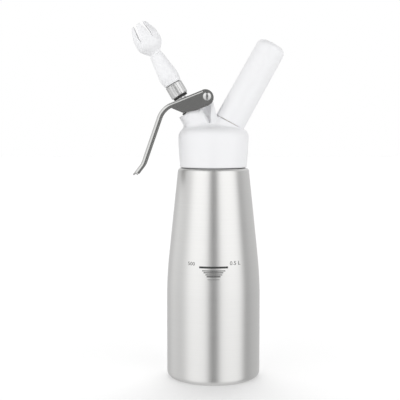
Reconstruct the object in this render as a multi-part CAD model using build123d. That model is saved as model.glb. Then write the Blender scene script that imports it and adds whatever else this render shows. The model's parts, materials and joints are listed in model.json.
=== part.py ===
from build123d import *
from math import cos, radians, sin, tan
import os

# Whipped cream dispenser: a pressure bottle, a screw-on head with a lever valve and a decorating nozzle on
# one side, and a gas charger in its holder on the other. Millimetres and degrees. Z is up, the bottle
# stands on Z = 0 round the Z axis, the nozzle leans to -X and the charger holder to +X.

# ---- bottle ----
bottle_radius = 40.0
bottle_wall = 1.6
base_corner = 6.0          # rounding between side and base
standing_ring = 8.0        # flat width of the ring that it stands on
base_dish = 4.0            # how far the middle of the base is domed up
dish_flat = 13.0           # radius of the flat middle of the base
dish_blend = 18.0
taper_height = 87.0        # where the straight side turns in to the taper
taper_blend = 320.0        # radius of that soft turn
shoulder_height = 173.2    # where the taper turns in to the shoulder
shoulder_overhang = 4.5    # shoulder beyond the neck
shoulder_blend = 0.96      # share of the shoulder's slope that its rounding takes
shoulder_rise = 6.8        # slope from the shoulder up to the neck
neck_radius = 26.4
neck_wall = 2.4
neck_length = 23.8

# ---- head ----
gasket_thickness = 3.0
gasket_width = 3.6
face_gap = 0.05            # between faces that press on each other
thread_clearance = 0.4     # head bore over bottle neck
skirt_clearance = 0.6      # skirt edge above the foot of the neck
skirt_wall = 1.9           # at the lower edge
skirt_flare = 1.2          # how much wider the skirt is at its top
skirt_blend = 60.0
skirt_edge = 1.2           # rounding of the lower edge
flare_drop = 4.5           # where the flare ends, below the gasket's seat
head_top = 6.1             # thickness over the gasket at the rim
head_crown = 4.8           # rise from the rim to the middle
head_rounding = 7.0

# ---- nozzle side, measured along the valve axis from its root ----
nozzle_tilt = 30.5         # from upright, towards -X
nozzle_drop = 13.9         # the valve axis crosses the bottle's axis this far below the gasket's seat
barrel_radius = 10.0
barrel_top = 40.6
barrel_edge = 0.8
pocket_radius = 7.7        # spring pocket
pocket_depth = 12.5
valve_boss_radius = 8.6    # inside the head
valve_seat = 11.4          # sealing face on the boss
seat_radius = 5.3
seat_length = 4.4
seal_room = 0.5            # free space round the valve's seal

stem_radius = 4.0
stem_bore = 2.2
stem_clearance = 0.05      # running fit of the stem in its bush
port_radius = 1.0          # side ports of the stem
port_height = 1.7          # ports above the sealing face
port_sump = 0.4            # the stem's bore ends this far below them
bush_wall = 2.3
bush_flange = 1.5
bush_clearance = 0.3       # flange in the spring pocket
seal_ring_height = 2.2
spindle_radius = 2.6       # stem's thin end, through seal and nut
spindle_end = 0.5          # spindle beyond its nut
valve_seal_radius = 6.2
valve_seal_thickness = 2.4
valve_nut_radius = 5.0     # over the corners
valve_nut_height = 2.8

collar_radius = 6.4
collar_thickness = 3.0
collar_edge = 0.5
collar_hub_radius = 4.9
collar_hub_length = 1.6
collar_gap = 0.3           # lever above the collar at rest
clip_thickness = 0.8
clip_radius = 5.1
spring_wire = 1.1
spring_turns = 5

adapter_lift = 13.1        # adapter nut above the pivot
adapter_radius = 7.5
adapter_height = 11.8
adapter_chamfer = 0.7
adapter_thread = 8.0       # stem screwed into the adapter
adapter_bore = 2.6
flute_count = 12
flute_radius = 1.5
flute_depth = 0.5
flute_margin = 1.4         # plain band left at each end of the flutes
spigot_radius = 4.8
spigot_length = 7.0

nozzle_gap = 0.3           # nozzle to adapter
nozzle_seal_thickness = 1.2
nozzle_channel = 2.8
nozzle_base_radius = 7.6
nozzle_bulge = 8.7
nozzle_bulge_height = 6.5
nozzle_waist = 5.3
nozzle_waist_height = 28.0
nozzle_groove = 1.0        # groove between body and tulip
tulip_foot = 29.8
tulip_radius = 11.6
tulip_belly = 36.6         # corners of the tulip's outline, before they are rounded
tulip_belly_blend = 7.0
tulip_brow = 47.0
tulip_brow_blend = 14.0
tulip_mouth = 7.0
nozzle_length = 57.5
nozzle_wall = 1.6
prong_count = 6
slot_length = 14.5
slot_mouth = 2.6           # slot between two prongs, at the mouth
slot_foot = 1.3
first_slot_angle = 90.0    # turn of the first slot, so that a prong faces the front

# ---- lever ----
pivot_offset = 19.3        # pivot from the valve axis
pivot_lift = 3.3           # pivot above the barrel's top, along the valve axis
pin_radius = 2.5
pin_clearance = 0.05
pin_head_radius = 3.4
pin_head_height = 1.3
pin_head_edge = 0.6
pin_cap_height = 2.6
lever_rest_angle = 10.7    # slope of the web from square to the valve axis, at rest
lever_end = 7.1            # rounded end round the pivot
sheet = 1.2
lever_half_width = 12.2
web_length = 23.4
web_bend_angle = 11.0
web_bend_radius = 26.0
bridge_length = 17.8
handle_bend_angle = 40.0
handle_bend_radius = 11.0
handle_length = 48.6
tip_bend_angle = 18.0      # the tip kicks out
tip_bend_radius = 9.0
tip_length = 12.2
tip_rounding = 8.0
flange_depth = 3.7         # depth of the channel along the handle
cheek_length = 13.5        # full depth of the side plates, from the pivot
cheek_slant = 10.5         # then they narrow
cheek_narrow = 2.4
cheek_run_out = 8.0        # and end in the flanges
cheek_corner = 3.0
slot_clearance = 0.6       # web slot round the stem

# ---- pivot ear ----
ear_half = 7.0             # half its thickness
ear_clearance = 0.4        # round end of the ear under the web
ear_back = 3.9             # its back edge behind the pivot
pad_radius = 4.8
pad_gap = 0.3              # pads to side plates
recess_half = 3.1          # half width of the recess under the pivot
recess_web = 2.0           # half the web left in the recess
recess_land = 0.8          # land beside the barrel
recess_roof = 6.6          # roof of the recess below the pivot
recess_height = 16.7

# ---- charger side, measured along the charger axis ----
charger_tilt = 29.0        # from upright, towards +X
charger_drop = 12.9        # the charger axis crosses the bottle's axis this far below the gasket's seat
holder_seat = 29.0         # rim of the holder from that root
holder_seam = 0.5          # open seam under the rim
seat_clearance = 0.4       # seat in the head round the rim
holder_wall = 3.5
holder_draft = 0.5         # radius lost towards the top
holder_top = 7.1           # thickness over the charger's end
holder_rounding = 6.0
holder_lead = 10.8         # length of the threaded mouth
boss_radius = 12.6
boss_length = 14.0         # round seat under the rim, into the crown
stub_radius = 9.5
stub_length = 10.2
stub_clearance = 0.35
shank_radius = 7.2
shank_length = 7.0
charger_length = 65.5
charger_radius = 9.15
charger_wall = 1.0
charger_cap = 2.0          # thickness that the pin pierces
neck_space = 2.6           # radius of the gas space in the neck
charger_clearance = 0.45
charger_neck = 4.35
charger_neck_edge = 0.5
charger_neck_length = 9.0
charger_shoulder = 9.5
charger_tip = 3.0          # end of the charger's neck above the holder's rim
neck_clearance = 0.35
pin_foot = 4.0             # piercing pin's foot below the rim
pierce_radius = 1.1
pierce_bore = 0.45
pierce_depth = 2.6         # how far the pin reaches into the charger
pierce_point = 1.6
pierce_clearance = 0.35
charger_seal_thickness = 1.5
duct_radius = 2.0
duct_reach = 3.0
check_valve_radius = 4.2
check_valve_thickness = 1.6
check_valve_stem = 1.3

# ---- heights and places that follow ----
over = 1.0                                          # how far a cut runs past the faces that it opens
neck_foot = shoulder_height + shoulder_rise
neck_top = neck_foot + neck_length
neck_bore = neck_radius - neck_wall
gasket_base = neck_top + face_gap
ceiling = gasket_base + gasket_thickness + face_gap
nozzle_root = ceiling - nozzle_drop
charger_root = ceiling - charger_drop
head_bore = neck_radius + thread_clearance
skirt_bottom = neck_foot + skirt_clearance
skirt_radius = head_bore + skirt_wall
rim_radius = skirt_radius + skirt_flare
rim_height = ceiling + head_top
pivot_height = barrel_top + pivot_lift
pocket_floor = barrel_top - pocket_depth
bush_radius = stem_radius + stem_clearance + bush_wall
ring_base = valve_seat + seat_length
bush_base = ring_base + seal_ring_height + face_gap
seal_top = valve_seat - face_gap
seal_base = seal_top - valve_seal_thickness
nut_base = seal_base - valve_nut_height
inner_half = lever_half_width - sheet
ear_radius = lever_end - sheet - ear_clearance
rest_slope = radians(lever_rest_angle)
web_under = (lever_end - sheet) / cos(rest_slope)
contact_rise = (pivot_offset - collar_radius) * tan(rest_slope)
collar_top = pivot_height + web_under + contact_rise - collar_gap
collar_base = collar_top - collar_thickness
spring_base = pocket_floor + bush_flange
adapter_base = pivot_height + adapter_lift
adapter_top = adapter_base + adapter_height
spigot_top = adapter_top + spigot_length
nozzle_base = adapter_top + nozzle_gap
socket_top = spigot_top + nozzle_seal_thickness + 2 * face_gap
charger_end = charger_tip + charger_length
holder_bore = charger_radius + charger_clearance
holder_radius = holder_bore + holder_wall
holder_length = charger_end + charger_clearance + holder_top
mouth_bore = stub_radius + stub_clearance
seal_seat = charger_tip - charger_seal_thickness - 2 * face_gap
duct_top = ceiling + duct_reach
duct_x = (duct_top - charger_root) * tan(radians(charger_tilt))


def leaning(root, tilt, along):
    """Place on an axis that leans from upright by a signed angle, positive towards +X."""
    lean = Vector(sin(radians(tilt)), 0, cos(radians(tilt)))
    across = Vector(cos(radians(tilt)), 0, -sin(radians(tilt)))
    return Plane(origin=Vector(0, 0, root) + lean * along, x_dir=across, z_dir=lean).location


valve_frame = leaning(nozzle_root, -nozzle_tilt, 0)
charger_frame = leaning(charger_root, charger_tilt, holder_seat)
pivot = (valve_frame * Pos(pivot_offset, 0, pivot_height)).position


def turned(*corners):
    """A turned solid from (radius, height) corners; a third number rounds its corner."""
    points = [corner[:2] for corner in corners]
    radii = [corner[2] if len(corner) > 2 else 0 for corner in corners]
    outline = FilletPolyline(*points, radius=radii, close=True)
    return revolve(Plane.XZ * make_face(outline), Axis.Z)


def rod(radius, start, end):
    """A cylinder on the local Z axis from one height to another."""
    return Pos(0, 0, (start + end) / 2) * Cylinder(radius, end - start)


def tube(radius, bore, start, end):
    """A ring or a tube on the local Z axis."""
    return rod(radius, start, end) - rod(bore, start - over, end + over)


def cross_rod(radius, start, end):
    """A cylinder along Y through the pivot, from one side to the other."""
    return Pos(pivot.X, (start + end) / 2, pivot.Z) * Rot(90, 0, 0) * Cylinder(radius, end - start)


def across(outline, start, end):
    """An outline in the XZ plane made a solid between two places along Y."""
    return extrude(Plane.XZ.offset(-start) * outline, -(end - start))


# ---- bottle ----
def full_rounding(before, corner, after, share):
    """Radius of a rounding that takes a share of the shorter leg at a corner."""
    first, second = Vector(*before) - Vector(*corner), Vector(*after) - Vector(*corner)
    turn = 180 - first.get_angle(second)
    return share * min(first.length, second.length) / tan(radians(turn) / 2)


def bottle_form(inset, neck, top):
    """The bottle's outside, or the space inside it when the wall is taken off all round."""
    ring_outer = bottle_radius - base_corner
    ring_inner = ring_outer - standing_ring
    side = bottle_radius - inset
    shoulder = (neck_radius + shoulder_overhang - inset, shoulder_height)
    blend = full_rounding((side, taper_height), shoulder, (neck, neck_foot), shoulder_blend)
    return turned(
        (0, base_dish + inset),
        (dish_flat, base_dish + inset, dish_blend),
        (ring_inner, inset, base_dish),
        (side, inset, base_corner - inset),
        (side, taper_height, taper_blend),
        (*shoulder, blend),
        (neck, neck_foot),
        (neck, top),
        (0, top),
    )


def bottle():
    inside = bottle_form(bottle_wall, neck_bore, neck_top + over)
    return bottle_form(0, neck_radius, neck_top) - inside


# ---- head ----
def head_gasket():
    return tube(neck_radius, neck_radius - gasket_width, gasket_base, gasket_base + gasket_thickness)


def head_shell():
    """Skirt and crowned top, still solid inside."""
    return turned(
        (0, skirt_bottom),
        (skirt_radius, skirt_bottom, skirt_edge),
        (rim_radius, ceiling - flare_drop, skirt_blend),
        (rim_radius, rim_height, head_rounding),
        (0, rim_height + head_crown),
    )


def valve_barrel():
    """Barrel round the valve, from inside the head to its open top."""
    edge = barrel_top
    return valve_frame * turned((0, 0), (barrel_radius, 0), (barrel_radius, edge, barrel_edge), (0, edge))


def holder_boss():
    """Round seat under the charger holder."""
    return charger_frame * rod(boss_radius, -holder_seam - boss_length, -holder_seam)


def pivot_ear():
    """Plate between barrel and boss with the pin's eye at its top and a recess in each side."""
    corner = (charger_frame * Pos(-boss_radius, 0, -holder_seam)).position
    foot = (valve_frame * Pos(0, 0, pocket_floor)).position
    back = CenterArc((pivot.X, pivot.Z), ear_back, 0, 360)
    spine = Polyline((corner.X, corner.Z), (0, neck_top), (foot.X, foot.Z), close=True)
    plate = across(make_hull([*back.edges(), *spine.edges()]), -ear_half, ear_half)
    return plate + cross_rod(ear_radius, -ear_half, ear_half)


def ear_recess(side):
    """Moulded recess under the pivot, on one side of the ear; it keeps a land beside the barrel."""
    depth = ear_half - recess_web
    high = pivot.Z - recess_roof
    low = high - recess_height
    middle = side * (recess_web + (depth + over) / 2)
    block = Pos(pivot.X, middle, (low + high) / 2) * Box(2 * recess_half, depth + over, high - low)
    return block - valve_frame * rod(barrel_radius + recess_land, 0, barrel_top)


def head_cap():
    ear = pivot_ear() - ear_recess(1) - ear_recess(-1)
    pads = cross_rod(pad_radius, pad_gap - inner_half, inner_half - pad_gap)
    body = head_shell() + valve_barrel() + holder_boss() + ear + pads
    body -= charger_frame * rod(holder_radius + seat_clearance, -holder_seam, holder_length)
    body -= rod(head_bore, skirt_bottom - over, ceiling)
    boss = valve_frame * rod(valve_boss_radius, valve_seat, pocket_floor)
    body += boss & rod(neck_bore, neck_foot, rim_height)
    body -= valve_frame * rod(valve_seal_radius + seal_room, nut_base, valve_seat)
    body -= valve_frame * rod(seat_radius, valve_seat - over, ring_base + over)
    body -= valve_frame * rod(bush_radius + face_gap, ring_base, pocket_floor + over)
    body -= valve_frame * rod(pocket_radius, pocket_floor, barrel_top + over)
    body -= charger_frame * rod(shank_radius + face_gap, -shank_length - face_gap, over)
    body -= Pos(duct_x, 0, 0) * rod(duct_radius, ceiling - over, duct_top + duct_radius)
    body -= cross_rod(pin_radius + face_gap, -lever_half_width, lever_half_width)
    return body


# ---- valve ----
def valve_bush():
    bush = rod(bush_radius, bush_base, pocket_floor)
    bush += rod(pocket_radius - bush_clearance, pocket_floor, spring_base)
    return valve_frame * (bush - rod(stem_radius + stem_clearance, bush_base - over, spring_base + over))


def stem_seal():
    bore = stem_radius + stem_clearance
    return valve_frame * tube(bush_radius, bore, ring_base, ring_base + seal_ring_height)


def valve_stem():
    """Hollow stem: side ports at its foot, a thin threaded end below them, the adapter's thread on top."""
    top = adapter_base + adapter_thread
    port = valve_seat + port_height
    stem = rod(stem_radius, seal_top, top) + rod(spindle_radius, nut_base - spindle_end, seal_top)
    stem -= rod(stem_bore, port - port_radius - port_sump, top + over)
    stem -= Pos(0, 0, port) * Rot(90, 0, 0) * Cylinder(port_radius, 2 * (stem_radius + over))
    return valve_frame * stem


def valve_seal():
    return valve_frame * tube(valve_seal_radius, spindle_radius, seal_base, seal_top)


def valve_nut():
    blank = Pos(0, 0, nut_base) * extrude(RegularPolygon(valve_nut_radius, 6), valve_nut_height)
    return valve_frame * (blank - rod(spindle_radius, nut_base - over, seal_base + over))


def pressure_collar():
    """Flanged ring that the lever presses; the snap ring lies in its counterbore."""
    foot = collar_base - collar_hub_length
    collar = turned(
        (0, foot),
        (collar_hub_radius, foot),
        (collar_hub_radius, collar_base),
        (collar_radius, collar_base),
        (collar_radius, collar_top, collar_edge),
        (0, collar_top),
    )
    collar -= rod(stem_radius, foot - over, collar_top + over)
    collar -= rod(clip_radius + face_gap, collar_top - clip_thickness - face_gap, collar_top + over)
    return valve_frame * collar


def collar_clip():
    """Open snap ring round the stem."""
    clip = tube(clip_radius, stem_radius, collar_top - clip_thickness - face_gap, collar_top - face_gap)
    mouth = Pos(clip_radius, 0, collar_top) * Box(2 * clip_radius, stem_radius, 2 * clip_radius)
    return valve_frame * (clip - mouth)


def valve_spring():
    """Coil spring between bush and collar."""
    coil_radius = collar_radius - spring_wire / 2
    start = spring_base + spring_wire / 2 + face_gap
    height = collar_base - spring_base - spring_wire - 2 * face_gap
    path = Pos(0, 0, start) * Helix(height / spring_turns, height, coil_radius)
    section = Plane(path @ 0, z_dir=path % 0) * Circle(spring_wire / 2)
    return valve_frame * sweep(section, path=path, is_frenet=True)


# ---- adapter and nozzle ----
def adapter_nut():
    """Fluted nut on the stem with a threaded spigot for the nozzle."""
    nut = turned(
        (0, adapter_base),
        (adapter_radius - adapter_chamfer, adapter_base),
        (adapter_radius, adapter_base + adapter_chamfer),
        (adapter_radius, adapter_top - adapter_chamfer),
        (adapter_radius - adapter_chamfer, adapter_top),
        (0, adapter_top),
    )
    flute = Cylinder(flute_radius, adapter_height - 2 * flute_margin)
    ring = PolarLocations(adapter_radius + flute_radius - flute_depth, flute_count)
    nut -= [Pos(0, 0, (adapter_base + adapter_top) / 2) * place * flute for place in ring]
    nut += rod(spigot_radius, adapter_top, spigot_top)
    nut -= rod(stem_radius, adapter_base - over, adapter_base + adapter_thread)
    nut -= rod(adapter_bore, adapter_base, spigot_top + over)
    return valve_frame * nut


def nozzle_seal():
    bore = adapter_bore
    return valve_frame * tube(spigot_radius, bore, spigot_top + face_gap, socket_top - face_gap)


def tulip(inset, top):
    """Tulip of the nozzle, or the space inside it when the wall is taken off."""
    closing = (tulip_radius - tulip_mouth) / (nozzle_length - tulip_brow)
    mouth = tulip_mouth - inset - closing * (top - nozzle_length)
    return turned(
        (0, tulip_foot),
        (nozzle_waist - nozzle_groove - inset, tulip_foot),
        (tulip_radius - inset, tulip_belly, tulip_belly_blend - inset),
        (tulip_radius - inset, tulip_brow, tulip_brow_blend - inset),
        (mouth, top),
        (0, top),
    )


def prong_slot(turn):
    """A pair of opposite slots that narrow away from the mouth and end round."""
    end = nozzle_length - slot_length
    foot = CenterArc((0, end), slot_foot / 2, 0, 360)
    mouth = Line((-slot_mouth / 2, nozzle_length + over), (slot_mouth / 2, nozzle_length + over))
    wedge = make_hull([*foot.edges(), *mouth.edges()])
    reach = tulip_radius + over
    return Rot(0, 0, turn) * across(wedge, -reach, reach)


def tulip_nozzle():
    """Decorating nozzle: a tapered body, and a tulip that is slit into prongs."""
    socket = socket_top - nozzle_base
    body = turned(
        (0, 0),
        (nozzle_base_radius, 0),
        (nozzle_bulge, nozzle_bulge_height, nozzle_bulge),
        (nozzle_waist, nozzle_waist_height),
        (nozzle_waist - nozzle_groove, nozzle_waist_height),
        (nozzle_waist - nozzle_groove, tulip_foot),
        (0, tulip_foot),
    )
    body += tulip(0, nozzle_length) - tulip(nozzle_wall, nozzle_length + over)
    body -= rod(spigot_radius + nozzle_gap, -over, socket)
    body -= rod(nozzle_channel, 0, tulip_foot + nozzle_wall)
    for pair in range(prong_count // 2):
        body -= prong_slot(first_slot_angle + 360 / prong_count * pair)
    return valve_frame * Pos(0, 0, nozzle_base) * body


# ---- lever ----
def lever_path(depth):
    """The lever's outside line from the pivot to the tip, or a line that lies deeper in it."""
    heading = 180 + nozzle_tilt - lever_rest_angle
    runs = [web_length, bridge_length, handle_length, tip_length]
    bends = [web_bend_angle, handle_bend_angle, -tip_bend_angle]
    radii = [web_bend_radius - depth, handle_bend_radius - depth, tip_bend_radius + depth]
    normal = Vector(0, 1).rotate(Axis.Z, heading - 180)
    point = Vector(pivot.X, pivot.Z) + normal * (lever_end - depth)
    points = [point]
    before = 0
    for run, bend in zip(runs, [*bends, 0]):
        trim = depth * tan(radians(bend) / 2)
        point += Vector(run - before - trim, 0).rotate(Axis.Z, heading)
        points.append(point)
        before = trim
        heading += bend
    return FilletPolyline(*points, radius=radii)


def strip(top, bottom):
    """The band between two lines of the lever."""
    upper = lever_path(top)
    lower = lever_path(bottom)
    return make_face([upper, Line(upper @ 1, lower @ 1), lower, Line(lower @ 0, upper @ 0)])


def cheek():
    """Side plate: a round end on the pivot, full depth past the valve, then run out into the flanges."""
    narrow = cheek_length + cheek_slant
    end = narrow + cheek_run_out
    corners = [
        (0, lever_end),
        (0, -lever_end),
        (-cheek_length, -lever_end),
        (-narrow, cheek_narrow - lever_end),
        (-end, lever_end - flange_depth),
        (-end, lever_end),
    ]
    plate = make_face(FilletPolyline(*corners, radius=[0, 0, cheek_corner, cheek_corner, 0, 0], close=True))
    plate += Circle(lever_end)
    return Pos(pivot.X, pivot.Z) * Rot(0, 0, nozzle_tilt - lever_rest_angle) * plate


def stem_slot():
    """Long hole in the web that the stem passes through while the lever swings."""
    width = 2 * (stem_radius + slot_clearance)
    swing = pivot_offset * (1 / cos(rest_slope) - 1) + web_under * sin(rest_slope)
    long_hole = SlotCenterToCenter(2 * swing, width)
    return valve_frame * Pos(swing / 2, 0, pivot_height) * extrude(long_hole, web_under + pivot_offset)


def tip_plan():
    """Slab over the whole lever whose corners round the tip, seen square to the handle."""
    path = lever_path(0)
    reach = 2 * (web_length + bridge_length + handle_length + tip_length)
    slab = extrude(RectangleRounded(reach, 2 * lever_half_width, tip_rounding), reach, both=True)
    way = path % 1
    end = path @ 1
    place = Plane(
        origin=(end.X, 0, end.Y),
        x_dir=(way.X, 0, way.Y),
        z_dir=(-way.Y, 0, way.X),
    )
    return place.location * Pos(-reach / 2, 0, 0) * slab


def lever():
    """Bent stainless channel: web, two side plates and the flanged handle."""
    flange = strip(0, flange_depth)
    side = across(cheek(), inner_half, lever_half_width) + across(flange, inner_half, lever_half_width)
    channel = across(strip(0, sheet), -lever_half_width, lever_half_width)
    channel += [side, mirror(side, Plane.XZ)]
    channel = channel & tip_plan()
    channel -= stem_slot()
    channel -= cross_rod(pin_radius + pin_clearance, -lever_half_width - over, lever_half_width + over)
    return channel


def pivot_pin():
    """Pin with a low domed head on the near side."""
    face = -lever_half_width - face_gap
    shaft = cross_rod(pin_radius, face, lever_half_width + pin_head_height)
    head = cross_rod(pin_head_radius, face - pin_head_height, face)
    rim = head.faces().sort_by(Axis.Y)[0].edges()
    return shaft + fillet(rim, pin_head_edge)


def pin_cap():
    """Push-on cap on the far end of the pin."""
    face = lever_half_width + face_gap
    cap = cross_rod(pin_head_radius, face, face + pin_cap_height)
    cap = fillet(cap.faces().sort_by(Axis.Y)[-1].edges(), pin_head_edge)
    return cap - cross_rod(pin_radius, face - over, lever_half_width + pin_head_height)


# ---- gas charger ----
def piercing_body():
    """Metal stub: a shank in the head and a threaded end with a well for the charger's neck."""
    stub = rod(stub_radius, -holder_seam + face_gap, stub_length) + rod(shank_radius, -shank_length, 0)
    stub -= rod(charger_neck + neck_clearance, seal_seat, stub_length + over)
    stub -= rod(pierce_radius, -pin_foot, seal_seat + over)
    stub -= rod(pierce_radius - pierce_bore, -shank_length - over, over - pin_foot)
    return charger_frame * stub


def piercing_pin():
    """Hollow pin with a sharp end that reaches into the charger's neck."""
    tip = charger_tip + pierce_depth
    pin = rod(pierce_radius, -pin_foot, tip - pierce_point)
    pin += turned((0, tip - pierce_point), (pierce_radius, tip - pierce_point), (pierce_bore, tip), (0, tip))
    return charger_frame * (pin - rod(pierce_bore, -pin_foot - over, tip + over))


def charger_seal():
    base = seal_seat + face_gap
    ring = tube(charger_neck, pierce_radius + pierce_clearance, base, base + charger_seal_thickness)
    return charger_frame * ring


def gas_check_valve():
    """Rubber umbrella valve under the gas duct."""
    base = ceiling - face_gap - check_valve_thickness
    disc = rod(check_valve_radius, base, ceiling - face_gap)
    return Pos(duct_x, 0, 0) * (disc + rod(check_valve_stem, base, duct_top))


def charger():
    """Steel gas charger, its neck pierced."""
    neck_end = charger_tip + charger_neck_length
    body = turned(
        (0, charger_tip),
        (charger_neck, charger_tip, charger_neck_edge),
        (charger_neck, neck_end, charger_neck),
        (charger_radius, neck_end + charger_shoulder, charger_radius),
        (charger_radius, charger_end, charger_radius - face_gap),
        (0, charger_end),
    )
    space = turned(
        (0, charger_tip + charger_cap),
        (neck_space, charger_tip + charger_cap),
        (neck_space, neck_end),
        (charger_radius - charger_wall, neck_end + charger_shoulder, charger_radius),
        (charger_radius - charger_wall, charger_end - charger_wall, charger_radius - 2 * charger_wall),
        (0, charger_end - charger_wall),
    )
    pierced = rod(pierce_radius + pierce_clearance, charger_tip - over, charger_tip + charger_cap + over)
    return charger_frame * (body - space - pierced)


def charger_holder():
    """Tube with a threaded mouth, closed over the charger's round end."""
    end = charger_end + charger_clearance
    outside = turned(
        (0, 0),
        (holder_radius, 0),
        (holder_radius - holder_draft, holder_length, holder_rounding),
        (0, holder_length),
    )
    space = turned(
        (0, -over),
        (mouth_bore, -over),
        (mouth_bore, holder_lead),
        (holder_bore, holder_lead),
        (holder_bore, end, holder_bore - face_gap),
        (0, end),
    )
    return charger_frame * (outside - space)


nodes = {
    "bottle": bottle,
    "head_gasket": head_gasket,
    "head_cap": head_cap,
    "valve_bush": valve_bush,
    "stem_seal": stem_seal,
    "valve_stem": valve_stem,
    "valve_seal": valve_seal,
    "valve_nut": valve_nut,
    "pressure_collar": pressure_collar,
    "collar_clip": collar_clip,
    "valve_spring": valve_spring,
    "adapter_nut": adapter_nut,
    "nozzle_seal": nozzle_seal,
    "tulip_nozzle": tulip_nozzle,
    "lever": lever,
    "pivot_pin": pivot_pin,
    "pin_cap": pin_cap,
    "piercing_body": piercing_body,
    "piercing_pin": piercing_pin,
    "charger_seal": charger_seal,
    "gas_check_valve": gas_check_valve,
    "charger": charger,
    "charger_holder": charger_holder,
}

os.makedirs("parts", exist_ok=True)
for name, make in nodes.items():
    export_step(make(), f"parts/{name}.step")
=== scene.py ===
import json
from math import atan, cos, hypot, pi, radians, sin, tan

import bmesh
import bpy
from mathutils import Matrix, Vector
from mathutils.bvhtree import BVHTree


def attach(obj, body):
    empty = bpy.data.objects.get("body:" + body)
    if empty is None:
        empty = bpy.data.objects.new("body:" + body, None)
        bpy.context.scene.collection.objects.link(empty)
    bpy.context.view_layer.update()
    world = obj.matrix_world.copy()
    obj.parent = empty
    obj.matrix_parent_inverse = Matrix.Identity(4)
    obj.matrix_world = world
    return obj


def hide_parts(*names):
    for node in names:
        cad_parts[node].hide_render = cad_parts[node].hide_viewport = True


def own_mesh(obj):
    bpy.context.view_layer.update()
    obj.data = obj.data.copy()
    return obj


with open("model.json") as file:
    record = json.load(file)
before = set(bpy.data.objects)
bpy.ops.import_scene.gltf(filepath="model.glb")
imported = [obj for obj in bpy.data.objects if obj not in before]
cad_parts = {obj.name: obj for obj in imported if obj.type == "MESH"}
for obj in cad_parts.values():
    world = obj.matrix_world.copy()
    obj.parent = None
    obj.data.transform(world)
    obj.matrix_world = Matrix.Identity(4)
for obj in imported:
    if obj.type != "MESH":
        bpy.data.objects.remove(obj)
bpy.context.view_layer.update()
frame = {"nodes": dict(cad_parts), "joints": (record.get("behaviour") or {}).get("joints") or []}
joints = {joint["name"]: joint for joint in frame["joints"]}
mm = 0.001


# ---- camera ----
# A long lens a little above the middle of the dispenser, tilted down a few degrees. The dispenser stands
# just right of the picture's middle.
picture_width = 400
focal_length = 938                  # in pixels of that picture
horizon_row = 127
dispenser_column = 213.5
camera_distance = 0.803
camera_height = 0.215

camera = bpy.data.objects.new("camera", bpy.data.cameras.new("camera"))
camera.data.lens = camera.data.sensor_width * focal_length / picture_width
camera.location = (
    (picture_width / 2 - dispenser_column) / focal_length * camera_distance,
    -camera_distance,
    camera_height,
)
camera.rotation_euler.x = pi / 2 - atan((picture_width / 2 - horizon_row) / focal_length)
bpy.context.scene.collection.objects.link(camera)
bpy.context.scene.camera = camera
bpy.context.scene.view_settings.view_transform = "Standard"


# ---- shader maths ----
def grey(shade):
    """A colour without a hue."""
    return (shade, shade, shade)


class Field:
    """A value that varies over a surface. Maths on it adds Math nodes."""

    def __init__(self, tree, socket):
        self.tree = tree
        self.socket = socket

    def maths(self, operation, *values):
        node = self.tree.nodes.new("ShaderNodeMath")
        node.operation = operation
        for place, value in zip(node.inputs, values):
            if isinstance(value, Field):
                self.tree.links.new(value.socket, place)
            else:
                place.default_value = value
        return Field(self.tree, node.outputs[0])

    def __add__(self, other):
        return self.maths("ADD", self, other)

    def __sub__(self, other):
        return self.maths("SUBTRACT", self, other)

    def __rsub__(self, other):
        return self.maths("SUBTRACT", other, self)

    def __mul__(self, other):
        return self.maths("MULTIPLY", self, other)

    __radd__ = __add__
    __rmul__ = __mul__

    def drive(self, shader, name):
        """Links the value to a socket of a shader."""
        self.tree.links.new(self.socket, shader.inputs[name])


def add_node(tree, kind, settings=None, sockets=None, output=0):
    """Adds a shader node: its settings first, then the values or links of its sockets. Gives one output."""
    node = tree.nodes.new("ShaderNode" + kind)
    for name, value in (settings or {}).items():
        setattr(node, name, value)
    for name, value in (sockets or {}).items():
        if isinstance(value, Field):
            value.drive(node, name)
        else:
            node.inputs[name].default_value = value
    return Field(tree, node.outputs[output])


# ---- studio light ----
# Two tall soft boxes stand left and right of the camera, with a dark gap between them and another at the
# far right. Brushed and polished metal shows them as light and dark bands. Above and below them it is dim.
light_bearings = [                  # (degrees from the camera's side, positive to the right; brightness)
    (-180, 0.90),
    (-160, 0.66),
    (-140, 0.64),
    (-118, 0.86),
    (-86, 0.72),
    (-72, 0.94),
    (-62, 1.20),
    (-16, 1.20),
    (-8, 0.19),
    (8, 0.19),
    (16, 1.20),
    (66, 1.20),
    (76, 0.95),
    (84, 0.32),
    (92, 0.46),
    (110, 0.62),
    (150, 0.68),
    (180, 0.90),
]
ramp_span = 2.0                     # a ramp holds values up to 1, so it holds brightness over this
box_top = 0.81                      # sine of the soft boxes' upper edge, seen from the dispenser
box_foot = -0.75
box_edge = 0.12                     # how far their upper and lower edges fade, each way
gain_upwards = 0.35                 # straight up is brighter than level by this share
dim_above = 0.05                    # over the boxes
dim_below = 0.70
white_level = 1.0                   # of the backdrop, as the camera sees it

world = bpy.data.worlds.new("studio")
world.use_nodes = True
bpy.context.scene.world = world
tree = world.node_tree
tree.nodes.clear()
heading = add_node(tree, "TexCoord", output="Generated")
split = tree.nodes.new("ShaderNodeSeparateXYZ")
tree.links.new(heading.socket, split.inputs[0])
east, north, up = (Field(tree, socket) for socket in split.outputs)
bearing = east.maths("ARCTAN2", east, north * -1)
bands = add_node(tree, "ValToRGB", None, {"Fac": bearing * (0.5 / pi) + 0.5})
stops = bands.socket.node.color_ramp.elements
while len(stops) < len(light_bearings):
    stops.new(0.5)
for stop, (degrees, brightness) in zip(stops, light_bearings):
    stop.position = 0.5 + degrees / 360
    stop.color = (*grey(brightness / ramp_span), 1)


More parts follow.
